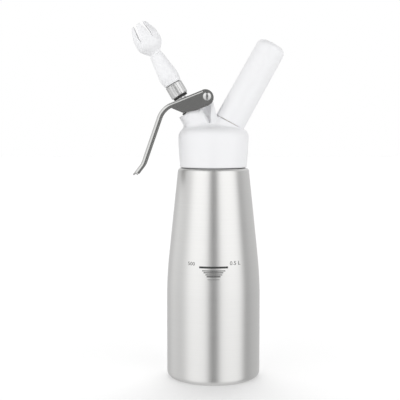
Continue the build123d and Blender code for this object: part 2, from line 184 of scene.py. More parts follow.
def fade(dark, bright):
    """Rises smoothly from 0 to 1 between two heights on the sky."""
    return add_node(tree, "MapRange", {"interpolation_type": "SMOOTHSTEP"},
                    {"Value": up, "From Min": dark, "From Max": bright})


upper = fade(box_top + box_edge, box_top - box_edge)
lower = fade(box_foot - box_edge, box_foot + box_edge)
boxes = bands * (up * gain_upwards + 1) * ramp_span * upper * lower
level = boxes + dim_above * (1 - upper) + dim_below * (1 - lower)
seen = add_node(tree, "LightPath", output="Is Camera Ray")
level = level * (1 - seen) + white_level * seen
background = add_node(tree, "Background", None, {"Color": (1, 1, 1, 1), "Strength": level})
surface = tree.nodes.new("ShaderNodeOutputWorld")
tree.links.new(background.socket, surface.inputs[0])


# ---- lamps ----
# Two wide lamps beside the camera lift what is matt or white, and leave the table out. A sun from over and
# behind the bottle lights the table alone, for its shadow. None of them shows in the metal.
lamp_bearings = (-62, 60)
lamp_size = 1.4
lamp_distance = 1.5
lamp_power = 4.6
lamp_rise = 8                       # degrees over level
sun_energy = 1.36
sun_angle = 50                      # how wide it is, which softens the shadow
sun_lean = 30


def add_light(name, kind, energy, receivers):
    """A light that metal doesn't show. The receivers are a collection that says what it lights."""
    light = bpy.data.objects.new(name, bpy.data.lights.new(name, kind))
    light.data.energy = energy
    light.visible_glossy = False
    light.light_linking.receiver_collection = receivers
    bpy.context.scene.collection.objects.link(light)
    return light


all_but_table = bpy.data.collections.new("all_but_table")
table_alone = bpy.data.collections.new("table_alone")
for lamp_bearing in lamp_bearings:
    lamp = add_light("lamp", "AREA", lamp_power, all_but_table)
    lamp.data.size = lamp_size
    lamp.matrix_world = (
        Matrix.Rotation(radians(lamp_bearing), 4, "Z")
        @ Matrix.Rotation(pi / 2 - radians(lamp_rise), 4, "X")
        @ Matrix.Translation((0, camera_height, lamp_distance))
    )
sun = add_light("table_sun", "SUN", sun_energy, table_alone)
sun.data.angle = radians(sun_angle)
sun.rotation_euler.x = -radians(sun_lean)


# ---- table top ----
# A white sweep that fades into the background, so that only the soft shadow under the bottle shows.
table_size = 6.0
table_shade = 0.80                  # what it gives back of the light
table_lift = 0.20                   # brings the open table to white for the camera

table_mesh = bmesh.new()
bmesh.ops.create_grid(table_mesh, x_segments=1, y_segments=1, size=table_size)
table = bpy.data.objects.new("table", bpy.data.meshes.new("table"))
table_mesh.to_mesh(table.data)
table_mesh.free()
bpy.context.scene.collection.objects.link(table)
table.visible_glossy = False
table_alone.objects.link(table)
all_but_table.objects.link(table)
all_but_table.collection_objects[0].light_linking.link_state = "EXCLUDE"

table_paper = bpy.data.materials.new("white_sweep")
table_paper.use_nodes = True
tree = table_paper.node_tree
shader = tree.nodes["Principled BSDF"]
shader.inputs["Base Color"].default_value = (*grey(table_shade), 1)
shader.inputs["Roughness"].default_value = 1
shader.inputs["Specular IOR Level"].default_value = 0
shader.inputs["Emission Color"].default_value = (1, 1, 1, 1)
seen = add_node(tree, "LightPath", output="Is Camera Ray")
(seen * table_lift).drive(shader, "Emission Strength")
table.data.materials.append(table_paper)


# ---- how pieces are built ----
corner_segments = 10                # along a rounded corner of an outline
crease_angle = 32                   # degrees; edges that fold by more stay sharp
weld_gap = 0.002                    # points nearer than this are one
shortest_edge = 0.001
circle_steps = 96                   # round a turned piece
bottle_steps = 192
holder_steps = 128
head_steps = 160
thread_steps = 64
thread_turns = 4
ridge_half = 0.3                    # half the width of a thread's foot, over the pitch
ridge_sink = 0.3                    # how deep that foot lies, over the thread's height
far = 90.0                          # past everything that a cut opens
overcut = 1.0                       # how far a cut runs past a face near by
upright = Matrix.Identity(4)
facing = Matrix.Rotation(pi / 2, 4, "X")    # turns local Z to the front


def move(x, y, z):
    """A shift in millimetres."""
    return Matrix.Translation(Vector((x, y, z)) * mm)


def at(place, x, y, z):
    """A point given in millimetres from a place."""
    return place @ (Vector((x, y, z)) * mm)


def leaning(point, lean):
    """The place whose local Z lies along a leaning axis; its local Y stays across the dispenser."""
    turn = Matrix(((lean.z, 0, lean.x), (0, 1, 0), (-lean.x, 0, lean.z)))
    return Matrix.Translation(point) @ turn.to_4x4()


def around(steps):
    """Evenly spaced points of the unit circle."""
    turns = [2 * pi * step / steps for step in range(steps)]
    return [(cos(turn), sin(turn)) for turn in turns]


def rounded_line(shape, corners, closed=False):
    """Adds a line through (x, z, setback) corners in the XZ plane; a setback rounds its corner. Gives the
    points at each corner."""
    points = [shape.verts.new((corner[0] * mm, 0, corner[1] * mm)) for corner in corners]
    for near, away in zip(points, points[1:] + points[:closed]):
        shape.edges.new((near, away))
    groups = []
    for point, corner in zip(points, corners):
        group = [point]
        if len(corner) > 2 and corner[2]:
            group = bmesh.ops.bevel(shape, geom=group, offset=corner[2] * mm, segments=corner_segments,
                                    profile=0.5, affect="VERTICES", material=-1)["verts"]
        groups.append(group)
    return groups


def show(name, shape, place=upright, crease=crease_angle):
    """Makes an object of a bmesh in its place, smooth but for edges that fold by more than the crease."""
    bmesh.ops.transform(shape, matrix=place, verts=shape.verts)
    bmesh.ops.remove_doubles(shape, verts=shape.verts, dist=weld_gap * mm)
    bmesh.ops.recalc_face_normals(shape, faces=shape.faces)
    piece = bpy.data.objects.new(name, bpy.data.meshes.new(name))
    shape.to_mesh(piece.data)
    shape.free()
    piece.data.shade_smooth()
    piece.data.set_sharp_from_angle(angle=radians(crease))
    bpy.context.scene.collection.objects.link(piece)
    return piece


def wind(shape, section, turns, rise, steps):
    """Sweeps a section round local Z while it rises, in so many steps a turn. Gives its end."""
    count = round(steps * turns)
    return bmesh.ops.spin(shape, geom=section, cent=(0, 0, 0), axis=(0, 0, 1),
                          dvec=(0, 0, rise * mm / count), angle=2 * pi * turns, steps=count,
                          use_merge=rise == 0)["geom_last"]


def turned(name, corners, place, steps=circle_steps, closed=False):
    """A turned solid: its outline is spun about local Z and set in its place. It runs from the axis back to
    the axis, or is closed round a hole."""
    shape = bmesh.new()
    rounded_line(shape, corners, closed)
    wind(shape, shape.verts[:] + shape.edges[:], 1, 0, steps)
    return show(name, shape, place)


def thread(name, root, crest, pitch, foot, place, steps=thread_steps):
    """A screw thread's ridge, wound round local Z, with its foot sunk in the root."""
    half = pitch * ridge_half
    sunk = root - (crest - root) * ridge_sink
    flank = [(sunk, foot - half), (crest, foot - half / 3), (crest, foot + half / 3), (sunk, foot + half)]
    shape = bmesh.new()
    ridge = shape.faces.new([shape.verts.new((radius * mm, 0, height * mm)) for radius, height in flank])
    wind(shape, [ridge], thread_turns, pitch * thread_turns, steps)
    return show(name, shape, place)


def rod(name, radius, foot, top, place):
    """A plain round bar, used to build up or to cut."""
    return turned(name, [(0, foot), (radius, foot), (radius, top), (0, top)], place)


def hull(name, points):
    """The solid that a tight skin round some points encloses."""
    shape = bmesh.new()
    for point in points:
        shape.verts.new(point)
    skin = bmesh.ops.convex_hull(shape, input=shape.verts)
    within = skin["geom_interior"] + skin["geom_unused"]
    spare = {item for item in within if isinstance(item, bmesh.types.BMVert)}
    bmesh.ops.delete(shape, geom=list(spare), context="VERTS")
    return show(name, shape)


def settle(piece):
    """Makes a piece's modifiers part of its mesh."""
    graph = bpy.context.evaluated_depsgraph_get()
    mesh = bpy.data.meshes.new_from_object(piece.evaluated_get(graph))
    piece.modifiers.clear()
    piece.data = mesh
    shape = bmesh.new()
    shape.from_mesh(mesh)
    bmesh.ops.dissolve_degenerate(shape, edges=shape.edges, dist=shortest_edge * mm)
    shape.to_mesh(mesh)
    shape.free()


def merge(piece, others, operation="UNION"):
    """Joins other solids to a piece, cuts them from it with DIFFERENCE, or keeps what it shares with them
    with INTERSECT."""
    for other in others:
        modifier = piece.modifiers.new("merge", "BOOLEAN")
        modifier.operation = operation
        modifier.object = other
        settle(piece)
        bpy.data.objects.remove(other)


def moulded(piece, cell, passes):
    """Gives a piece one even skin with its corners softly rounded, as plastic leaves a mould."""
    skin = piece.modifiers.new("skin", "REMESH")
    skin.mode = "VOXEL"
    skin.voxel_size = cell * mm
    soften = piece.modifiers.new("soften", "SMOOTH")
    soften.factor = 0.5
    soften.iterations = passes
    settle(piece)
    piece.data.shade_smooth()


# ---- how pieces are finished ----
def paint(name, colour, metallic, roughness, **sockets):
    """A material and its Principled shader. What is the same all over is set on the shader's sockets."""
    material = bpy.data.materials.new(name)
    material.use_nodes = True
    shader = material.node_tree.nodes["Principled BSDF"]
    shader.inputs["Base Color"].default_value = (*colour, 1)
    shader.inputs["Metallic"].default_value = metallic
    shader.inputs["Roughness"].default_value = roughness
    for socket, value in sockets.items():
        shader.inputs[socket.replace("_", " ")].default_value = value
    return material, shader


def noise(material, cells, detail, turn=(0, 0, 0)):
    """A noise pattern with so many cells to the metre along X, Y and Z of the piece, after a turn."""
    tree = material.node_tree
    point = add_node(tree, "TexCoord", output="Object")
    point = add_node(tree, "Mapping", None, {"Vector": point, "Rotation": turn, "Scale": cells})
    return add_node(tree, "TexNoise", None, {"Vector": point, "Scale": 1.0, "Detail": detail})


def roughen(shader, least, *patterns):
    """Varies the roughness over its least value by (pattern, spread) pairs."""
    roughness = least
    for pattern, spread in patterns:
        roughness = pattern * spread + roughness
    roughness.drive(shader, "Roughness")


def tint(shader, pattern, dark, light):
    """Lets a pattern choose a shader's colour between two."""
    first, second, blend = 6, 7, 2      # where a Mix node has its colours and their blend
    sockets = {"Factor": pattern, first: (*dark, 1), second: (*light, 1)}
    add_node(pattern.tree, "Mix", {"data_type": "RGBA"}, sockets, blend).drive(shader, "Base Color")


def raise_grain(shader, pattern, strength, depth):
    """Lets a pattern raise the surface a little."""
    sockets = {"Strength": strength, "Distance": depth, "Height": pattern}
    add_node(pattern.tree, "Bump", None, sockets).drive(shader, "Normal")


def grained(name, colour, metallic, roughness, cells, detail, spread, least, dark, light, turn=(0, 0, 0)):
    """A material in which one noise pattern varies both the colour and the roughness. The roughness has a
    spread over its least value."""
    material, shader = paint(name, colour, metallic, roughness)
    pattern = noise(material, cells, detail, turn)
    roughen(shader, least, (pattern, spread))
    tint(shader, pattern, dark, light)
    return material


def dress(piece, material, body):
    """Gives a piece its material and its body."""
    piece.data.materials.clear()
    piece.data.materials.append(material)
    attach(piece, body)


def finish_node(node, material):
    """Gives a piece of the frame that stays as it is its material."""
    for place in frame["nodes"][node].material_slots:
        place.material = material


# ---- bottle ----
# A deep-drawn aluminium bottle with a domed base that leaves a standing ring, a long taper and a round
# shoulder. Its neck carries a rolled thread. The outside is brushed round and round on a lathe.
bottle_radius = 40.0
bottle_wall = 1.6
base_corner = 5.0
ring_inner = 26.0
ring_rounding = 0.6
dish_radius = 13.0
dish_rise = 4.0
dish_rounding = 2.7
taper_foot = 87.0
taper_softness = 16.9               # how far its soft turn reaches up and down
shoulder_radius = 30.2
shoulder_height = 179.9
shoulder_softness = 2.2
neck_foot = 180.25
neck_top = 203.8
neck_radius = 25.7                  # between the threads
neck_bore = 24.0
neck_rounding = 0.6
bore_rounding = 1.0
lip_edge = 0.5
thread_crest = 26.5
thread_pitch = 3.5
thread_foot = 183.6

bottle = turned("drawn_bottle", [
    (0, dish_rise),
    (dish_radius, dish_rise, dish_rounding),
    (ring_inner, 0, ring_rounding),
    (bottle_radius, 0, base_corner),
    (bottle_radius, taper_foot, taper_softness),
    (shoulder_radius, shoulder_height, shoulder_softness),
    (neck_radius, neck_foot, neck_rounding),
    (neck_radius, neck_top, lip_edge),
    (neck_bore, neck_top, lip_edge),
    (neck_bore, neck_foot, bore_rounding),
    (shoulder_radius - bottle_wall, shoulder_height, shoulder_softness - bottle_wall),
    (bottle_radius - bottle_wall, taper_foot, taper_softness),
    (bottle_radius - bottle_wall, bottle_wall, base_corner - bottle_wall),
    (ring_inner, bottle_wall, ring_rounding),
    (dish_radius, dish_rise + bottle_wall, dish_rounding),
    (0, dish_rise + bottle_wall),
], upright, bottle_steps)
merge(bottle, [
    thread("neck_thread", neck_radius, thread_crest, thread_pitch, thread_foot, upright, circle_steps),
])

brushed, shader = paint("brushed_aluminium", (0.78, 0.775, 0.765), metallic=1.0, roughness=0.36,
                        Anisotropic=0.5, Anisotropic_Rotation=0.25)
streaks = noise(brushed, cells=(18, 18, 5200), detail=3.0)
patches = noise(brushed, cells=(40, 40, 400), detail=2.0)
roughen(shader, 0.30, (streaks, 0.08), (patches, 0.04))
tint(shader, streaks, dark=(0.74, 0.737, 0.727), light=(0.82, 0.817, 0.807))
raise_grain(shader, streaks, strength=0.06, depth=0.04 * mm)
dress(bottle, brushed, "bottle")
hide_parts("bottle")


# ---- fill mark ----
# The level to fill to, printed on the bottle in dark ink: a bold line between plain numbers for millilitres
# and litres, and fainter lines under it that get shorter downwards.
mark_rows = [                       # (z, left end, right end, thickness)
    (99.7, -12.2, 11.5, 1.6),
    (96.9, -9.8, 9.3, 0.7),
    (95.4, -8.6, 7.6, 0.8),
    (93.7, -7.1, 6.7, 0.7),
    (92.2, -6.1, 5.3, 0.9),
    (89.7, -5.4, 4.6, 0.3),
]
mark_numbers = [                    # (number, left end, z of its foot, height)
    ("500", -21.6, 101.0, 2.8),
    ("0.5 L", 13.0, 101.4, 3.2),
]
letter_scale = 1.4                  # of a font's size to the height of its digits
print_left = mark_numbers[0][1]
print_right = 20.0
print_front = -60.0                 # where the flat print starts, before it is laid on the bottle
bend_step = 0.8                     # the print is cut this often, so that it follows the round bottle
ink_thickness = 0.03
ink_stand_off = 0.05

print_shape = bmesh.new()
for height, left, right, thickness in mark_rows:
    stretch = Matrix.Diagonal((*(Vector((right - left, 1, thickness)) * mm), 1))
    place = move((left + right) / 2, print_front, height) @ stretch @ facing
    bmesh.ops.create_grid(print_shape, x_segments=1, y_segments=1, size=0.5, matrix=place)
for number, left, foot, height in mark_numbers:
    letters = bpy.data.curves.new("number", "FONT")
    letters.body = number
    letters.size = height * letter_scale * mm
    text = bpy.data.objects.new("number", letters)
    bpy.context.scene.collection.objects.link(text)
    bpy.context.view_layer.update()
    flat = bpy.data.meshes.new_from_object(text.evaluated_get(bpy.context.evaluated_depsgraph_get()))
    flat.transform(move(left, print_front, foot) @ facing)
    print_shape.from_mesh(flat)
    bpy.data.objects.remove(text)
column = print_left
while column < print_right:
    whole = print_shape.verts[:] + print_shape.edges[:] + print_shape.faces[:]
    bmesh.ops.bisect_plane(print_shape, geom=whole, plane_co=(column * mm, 0, 0), plane_no=(1, 0, 0))
    column += bend_step
wall = BVHTree.FromObject(bottle, bpy.context.evaluated_depsgraph_get())
for corner in print_shape.verts:
    touch = wall.ray_cast(corner.co, Vector((0, 1, 0)))[0]
    outwards = Vector((touch.x, touch.y, 0)).normalized()
    corner.co = touch + outwards * ink_stand_off * mm
bmesh.ops.solidify(print_shape, geom=print_shape.faces[:], thickness=ink_thickness * mm)
fill_mark = show("fill_mark", print_shape)
ink = grained("printed_ink", grey(0.03), metallic=0.0, roughness=0.5, cells=(900, 900, 900), detail=4.0,
              spread=0.3, least=0.35, dark=grey(0.015), light=grey(0.06))
dress(fill_mark, ink, "bottle")


# ---- head gasket ----
# A moulded silicone ring that lies on the bottle's lip, under the head.
gasket_base = 203.85
gasket_top = 206.85
gasket_bore = 22.8
gasket_radius = 26.4
gasket_rounding = 0.5

gasket = turned("silicone_gasket", [
    (gasket_bore, gasket_base, gasket_rounding),
    (gasket_radius, gasket_base, gasket_rounding),
    (gasket_radius, gasket_top, gasket_rounding),
    (gasket_bore, gasket_top, gasket_rounding),
], upright, closed=True)
silicone = grained("silicone", (0.80, 0.80, 0.78), metallic=0.0, roughness=0.6,
                   cells=(300, 300, 300), detail=5.0, spread=0.25, least=0.45,
                   dark=(0.74, 0.74, 0.72), light=(0.84, 0.84, 0.82))
dress(gasket, silicone, "gasket")
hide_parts("head_gasket")


# ---- head ----
# One moulding of white plastic: a skirt that screws over the neck, a low crown, the leaning barrel round
# the valve, the round seat of the charger holder, and between them an ear that holds the lever's pin. All
# its inner corners are softly rounded.
head_foot = 180.6
skirt_radius = 28.7
skirt_edge = 1.2
rim_radius = 29.9
flare_end = 202.4
flare_softness = 1.7
rim_height = 213.0
rim_softness = 6.0
crown_height = 217.8
head_bore = 26.8
ceiling = 206.9
barrel_radius = 10.0
barrel_top = 40.6
boss_radius = 12.6
boss_depth = 14.5
seam = 0.5
seat_radius = 13.5
ear_half = 7.0
ear_inset = 0.4                     # its corner lies this deep in the boss
ear_back = 3.9
ear_steps = 24                      # round its end
ear_eye = 5.0
eye_half = 7.1                      # a little proud of the ear
pad_radius = 4.8
pad_half = 10.7
recess_half = 3.1
recess_web = 2.0
recess_roof = 6.6
recess_height = 15.8
recess_land = 0.8
pocket_radius = 7.7
pocket_floor = 28.1
bush_hole = 6.4
bush_floor = 15.8
shank_hole = 7.25
shank_depth = 7.05
pin_hole = 2.55
head_grain = 0.5                    # size of the cells that round the moulding's corners
head_passes = 6                     # of smoothing
barrel_flare = 4.0                  # rounding from the crown up to the barrel
ear_flare = 1.8                     # and round the ear and the boss
hollow_steps = 4                    # times that each point is moved out


def skin_of(piece):
    """A solid's skin, to measure distances from."""
    return BVHTree.FromObject(piece, bpy.context.evaluated_depsgraph_get())


def outside(skin, point):
    """How far a point lies outside a skin, negative inside."""
    near, outwards, _, gap = skin.find_nearest(point)
    return gap if (point - near).dot(outwards) > 0 else -gap


def hollow(piece, first, second, radius):
    """Fills the inner corner where two solids of a moulding meet with a round hollow."""
    shape = bmesh.new()
    shape.from_mesh(piece.data)
    radius = radius * mm
    for point in shape.verts:
        for step in range(hollow_steps):
            gaps = [outside(skin, point.co) for skin in (first, second)]
            if min(gaps) < -head_grain * mm or max(gaps) > radius:
                break
            point.co += point.normal * max(0, hypot(radius - gaps[0], radius - gaps[1]) - radius)
    shape.to_mesh(piece.data)
    shape.free()


valve_axis = Vector(joints["nozzle_slide"]["axis"])
nozzle_foot = Vector(joints["nozzle_turn"]["pos_m"])
valve_place = leaning(nozzle_foot - valve_axis * (nozzle_foot.x / valve_axis.x), valve_axis)
charger_place = leaning(Vector(joints["holder_turn"]["pos_m"]), Vector(joints["charger_slide"]["axis"]))
pivot = Vector(joints["lever_pivot"]["pos_m"])
pivot_place = Matrix.Translation(pivot) @ facing

head = turned("moulded_head", [
    (0, head_foot),
    (skirt_radius, head_foot, skirt_edge),
    (rim_radius, flare_end, flare_softness),
    (rim_radius, rim_height, rim_softness),
    (0, crown_height),
], upright, head_steps)
ear_points = [
    at(charger_place, ear_inset - boss_radius, 0, -seam - ear_inset),
    Vector((0, 0, gasket_base)) * mm,
    at(valve_place, 0, 0, pocket_floor),
]
ear_points += [pivot + Vector((x, 0, z)) * ear_back * mm for x, z in around(ear_steps)]
ear = hull("ear", [
    point + Vector((0, side * ear_half, 0)) * mm
    for point in ear_points
    for side in (-1, 1)
])
for side in (-1, 1):
    recess = hull("recess", [
        (pivot.x + across * recess_half * mm, side * depth * mm, pivot.z - drop * mm)
        for across in (-1, 1)
        for depth in (recess_web, ear_half + overcut)
        for drop in (recess_roof, recess_roof + recess_height)
    ])
    merge(recess, [rod("land", barrel_radius + recess_land, 0, barrel_top, valve_place)], "DIFFERENCE")
    merge(ear, [recess], "DIFFERENCE")
barrel = rod("barrel", barrel_radius, 0, barrel_top, valve_place)
boss = rod("boss", boss_radius, -boss_depth, -seam, charger_place)
eye = turned("eye", [
    (0, -pad_half),
    (pad_radius, -pad_half),
    (pad_radius, -eye_half),
    (ear_eye, -eye_half),
    (ear_eye, eye_half),
    (pad_radius, eye_half),
    (pad_radius, pad_half),
    (0, pad_half),
], pivot_place)
crown_skin, barrel_skin, boss_skin, ear_skin = (skin_of(solid) for solid in (head, barrel, boss, ear))
merge(head, [barrel, boss, ear, eye])
merge(head, [
    rod("holder_room", seat_radius, -seam, far, charger_place),
    rod("neck_room", head_bore, head_foot - 2 * overcut, ceiling, upright),
    rod("spring_room", pocket_radius, pocket_floor, far, valve_place),
    rod("bush_room", bush_hole, bush_floor, far, valve_place),
    rod("shank_room", shank_hole, -shank_depth, far, charger_place),
    rod("pin_room", pin_hole, -far, far, pivot_place),
], "DIFFERENCE")
moulded(head, head_grain, head_passes)
hollow(head, crown_skin, barrel_skin, barrel_flare)
hollow(head, crown_skin, boss_skin, ear_flare)
hollow(head, crown_skin, ear_skin, ear_flare)
hollow(head, barrel_skin, ear_skin, ear_flare)

white_plastic, shader = paint("white_plastic", (0.87, 0.872, 0.885), metallic=0.0, roughness=0.34)
skin_grain = noise(white_plastic, cells=(1400, 1400, 1400), detail=3.0)
flow = noise(white_plastic, cells=(60, 60, 25), detail=2.0)
roughen(shader, 0.25, (skin_grain, 0.08), (flow, 0.10))
tint(shader, flow, dark=(0.86, 0.862, 0.875), light=(0.885, 0.887, 0.90))
raise_grain(shader, skin_grain, strength=0.08, depth=0.03 * mm)
dress(head, white_plastic, "head")
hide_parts("head_cap")


# ---- valve in the barrel ----
# The stem slides in a plastic bush over a seal ring. A steel collar with a snap ring passes the lever's
# push to the stem, and a coil spring brings it back.
collar_hub = 4.9
collar_foot = 46.4
collar_base = 48.0
collar_top = 51.0
collar_radius = 6.4
collar_edge = 0.5
collar_rounding = 0.3
stem_radius = 4.0
clip_radius = 5.1
clip_thickness = 0.8
clip_gap = 0.05
clip_mouth = 2.0                    # half the width of its open side
fine_edge = 0.1
spring_foot = 29.65
spring_top = 47.95
spring_wire = 0.55                  # radius of the wire
spring_radius = 5.85                # at the middle of the wire
spring_turns = 4
closed_turns = 0.8                  # at each end, where the coil lies on itself
wire_sides = 12
coil_steps = 40                     # to the turn
coil_crease = 50

seat_height = collar_top - clip_thickness - clip_gap
collar = turned("thrust_collar", [
    (stem_radius, collar_foot),
    (collar_hub, collar_foot, collar_rounding),
    (collar_hub, collar_base),
    (collar_radius, collar_base, collar_rounding),
    (collar_radius, collar_top, collar_edge),
    (clip_radius + clip_gap, collar_top, fine_edge),
    (clip_radius + clip_gap, seat_height),
    (stem_radius, seat_height),
], valve_place, closed=True)
clip = turned("snap_ring", [
    (stem_radius, collar_top - clip_thickness, fine_edge),
    (clip_radius, collar_top - clip_thickness, fine_edge),
    (clip_radius, collar_top, fine_edge),
    (stem_radius, collar_top, fine_edge),
], valve_place, closed=True)
mouth = hull("mouth", [
    at(valve_place, x, y, z)
    for x in (0, 2 * clip_radius)
    for y in (-clip_mouth, clip_mouth)
    for z in (collar_base, collar_top + overcut)
])
merge(clip, [mouth], "DIFFERENCE")
steel = grained("polished_steel", grey(0.62), metallic=1.0, roughness=0.2,
                cells=(300, 60, 300), detail=6.0, spread=0.18, least=0.10,
                dark=grey(0.55), light=(0.66, 0.66, 0.655))
dress(collar, steel, "valve")
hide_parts("pressure_collar")
dress(clip, steel, "valve")
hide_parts("collar_clip")

coil = bmesh.new()
wire_place = move(spring_radius, 0, spring_foot + spring_wire) @ facing
wire = bmesh.ops.create_circle(coil, cap_ends=True, segments=wire_sides, radius=spring_wire * mm,
                               matrix=wire_place)
section = wire["verts"][0].link_faces[0]
closed_rise = 2 * spring_wire * closed_turns
open_rise = spring_top - spring_foot - 2 * spring_wire * (1 + 2 * closed_turns)
for turns, rise in ((closed_turns, closed_rise), (spring_turns, open_rise), (closed_turns, closed_rise)):
    last = wind(coil, [section], turns, rise, coil_steps)
    section = [item for item in last if isinstance(item, bmesh.types.BMFace)][0]
spring = show("return_spring", coil, valve_place, coil_crease)
dress(spring, steel, "head")
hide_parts("valve_spring")
foot = at(valve_place, 0, 0, spring_foot)
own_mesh(spring)

bush_plastic = grained("bush_plastic", (0.85, 0.85, 0.82), metallic=0.0, roughness=0.5,
                       cells=(500, 500, 500), detail=3.0, spread=0.2, least=0.4,
                       dark=(0.80, 0.80, 0.77), light=(0.87, 0.87, 0.84))
finish_node("valve_bush", bush_plastic)
finish_node("stem_seal", silicone)
finish_node("valve_seal", silicone)
finish_node("valve_stem", steel)
finish_node("valve_nut", steel)


# ---- adapter nut ----
# A bright turned nut screwed on the stem. It has flutes to grip, chamfered ends, and a threaded spigot on
# top for the nozzle and its silicone seal.
adapter_base = 56.3
adapter_top = 67.9
adapter_radius = 7.5
adapter_chamfer = 0.7
adapter_bore = 2.6
adapter_edge = 0.2
spigot_radius = 4.4                 # between the threads
spigot_crest = 4.8
spigot_pitch = 1.5
spigot_top = 74.9
spigot_edge = 0.4
spigot_thread_foot = adapter_top + 0.6
stem_end = 64.4
flute_count = 12
flute_radius = 1.2
flute_depth = 0.15
flute_margin = 1.5
valve_lean = 30.5                   # of the stem from upright, in degrees

adapter = turned("fluted_adapter", [
    (stem_radius, adapter_base, adapter_edge),
    (adapter_radius - adapter_chamfer, adapter_base),
    (adapter_radius, adapter_base + adapter_chamfer),
    (adapter_radius, adapter_top - adapter_chamfer),
    (adapter_radius - adapter_chamfer, adapter_top),
    (spigot_radius, adapter_top, adapter_edge),
    (spigot_radius, spigot_top, spigot_edge),
    (adapter_bore, spigot_top, adapter_edge),
    (adapter_bore, stem_end),
    (stem_radius, stem_end),
], valve_place, closed=True)
flute_foot = adapter_base + flute_margin
flute_top = adapter_top - flute_margin
flutes = []
for step in range(flute_count):
    turn = Matrix.Rotation(2 * pi * (step + 0.5) / flute_count, 4, "Z")
    beside = valve_place @ turn @ move(adapter_radius + flute_radius - flute_depth, 0, 0)
    flutes.append(rod("flute", flute_radius, flute_foot, flute_top, beside))
merge(adapter, flutes, "DIFFERENCE")
merge(adapter, [
    thread("spigot_thread", spigot_radius, spigot_crest, spigot_pitch, spigot_thread_foot, valve_place),
])
bright = grained("bright_turned", grey(0.74), metallic=1.0, roughness=0.36,
                 cells=(60, 60, 2600), detail=2.0, spread=0.12, least=0.30,
                 dark=grey(0.66), light=(0.76, 0.76, 0.755), turn=(0, radians(valve_lean), 0))
dress(adapter, bright, "valve")
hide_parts("adapter_nut")
finish_node("nozzle_seal", silicone)


# ---- washer ----
# A thin black washer lies round the stem, under the adapter nut. Its black is painted shade: it stands in
# for the shadowed gap between the nut and the lever.
washer_radius = 6.3
washer_thickness = 1.6
washer_gap = 0.05
washer_edge = 0.3
washer_top = adapter_base - washer_gap

washer = turned("shade_washer", [
    (stem_radius + washer_gap, washer_top - washer_thickness, fine_edge),
    (washer_radius, washer_top - washer_thickness, washer_edge),
    (washer_radius, washer_top, washer_edge),
    (stem_radius + washer_gap, washer_top, fine_edge),
], valve_place, closed=True)
# The washer's black is painted shade, for the shadowed gap under the nut, not the colour of a real part.
gap_shade_black = grained("gap_shade_black", grey(0.02), metallic=0.0, roughness=0.7,
                       cells=(800, 800, 800), detail=4.0, spread=0.2, least=0.6,
                       dark=grey(0.015), light=grey(0.03))
dress(washer, gap_shade_black, "valve")


# ---- tulip nozzle ----
# The decorating nozzle, moulded in white plastic: a tapered body that screws on the adapter and a tulip
# slit into six prongs that close in a little at the mouth.
nozzle_seat = 0.3                   # its foot over the adapter's shoulder
nozzle_base_radius = 7.6
bulge_radius = 8.7
bulge_height = 6.5
bulge_softness = 1.4
waist_radius = 5.7
waist_height = 28.0
groove_radius = 5.0
tulip_foot = 29.8
tulip_radius = 11.2
tulip_belly = 36.6
belly_softness = 3.0
tulip_brow = 47.0
brow_softness = 2.9
tulip_mouth = 7.0
nozzle_length = 57.5
nozzle_wall = 1.6
nozzle_edge = 0.5
foot_edge = 0.4
waist_edge = 0.3
socket_edge = 0.2
inner_softness = 2.5
channel_radius = 2.8
socket_radius = 5.1
socket_depth = 8.0
prong_count = 6
slot_length = 14.5
slot_mouth = 3.6
slot_foot = 1.0
slot_steps = 16                     # round its foot
nozzle_grain = 0.3
nozzle_passes = 4

nozzle_place = valve_place @ move(0, 0, adapter_top + nozzle_seat)
nozzle = turned("slit_nozzle", [
    (socket_radius, 0, socket_edge),
    (nozzle_base_radius, 0, foot_edge),
    (bulge_radius, bulge_height, bulge_softness),
    (waist_radius, waist_height, waist_edge),
    (groove_radius, waist_height),
    (groove_radius, tulip_foot),
    (tulip_radius, tulip_belly, belly_softness),
    (tulip_radius, tulip_brow, brow_softness),
    (tulip_mouth, nozzle_length, nozzle_edge),
    (tulip_mouth - nozzle_wall, nozzle_length, nozzle_edge),
    (tulip_radius - nozzle_wall, tulip_brow, inner_softness),
    (tulip_radius - nozzle_wall, tulip_belly, inner_softness),
    (channel_radius, tulip_foot + nozzle_wall, nozzle_edge),
    (channel_radius, socket_depth),
    (socket_radius, socket_depth),
], nozzle_place, closed=True)
slot_plan = [(side * slot_mouth / 2, nozzle_length + overcut) for side in (-1, 1)]
slot_plan += [
    (x * slot_foot / 2, nozzle_length - slot_length + z * slot_foot / 2)
    for x, z in around(slot_steps)
]
slot_reach = tulip_radius + overcut
slots = []
for pair in range(prong_count // 2):
    turn = nozzle_place @ Matrix.Rotation(pi / 2 + 2 * pi * pair / prong_count, 4, "Z")
    slots.append(hull("slot", [at(turn, x, side * slot_reach, z) for x, z in slot_plan for side in (-1, 1)]))
merge(nozzle, slots, "DIFFERENCE")
moulded(nozzle, nozzle_grain, nozzle_passes)
dress(nozzle, white_plastic, "nozzle")
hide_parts("tulip_nozzle")


# ---- lever ----
# A channel bent from 1.2 mm stainless sheet: a web over the valve, two deep side plates that hold the pin,
# and a long handle with shallow flanges and a rounded tip that kicks out.
lever_rise = 6.6                    # outside of the web above the pivot
lever_end = 7.0                     # radius of the side plates' round end
lever_end_offset = 1.7              # its centre, from the pivot towards the handle
lever_end_steps = 20
sheet = 1.2
lever_half_width = 12.2
fold_radius = 2.4
fold_segments = 6
fold_crease = 25
flange_depth = 3.7
lever_slope = 22.0                  # of the web, in degrees from level
lever_runs = [                      # (length to the next bend, bend in degrees, bend radius)
    (37.8, 48.8, 18.0),
    (50.4, -18.0, 9.0),
    (12.2, 0.0, 0.0),
]
cheek_length = 13.5
cheek_slant = 10.5
cheek_narrow = 2.4
cheek_run_out = 8.0
cheek_rounding = 0.6                # of its lower corners
cheek_softness = 0.8
pin_radius = 2.55
pivot_lift = 43.9                   # of the pivot along the valve axis
stem_slot_half = 4.6
stem_slot_reach = 2.56
stem_slot_shift = 0.64
stem_slot_steps = 32
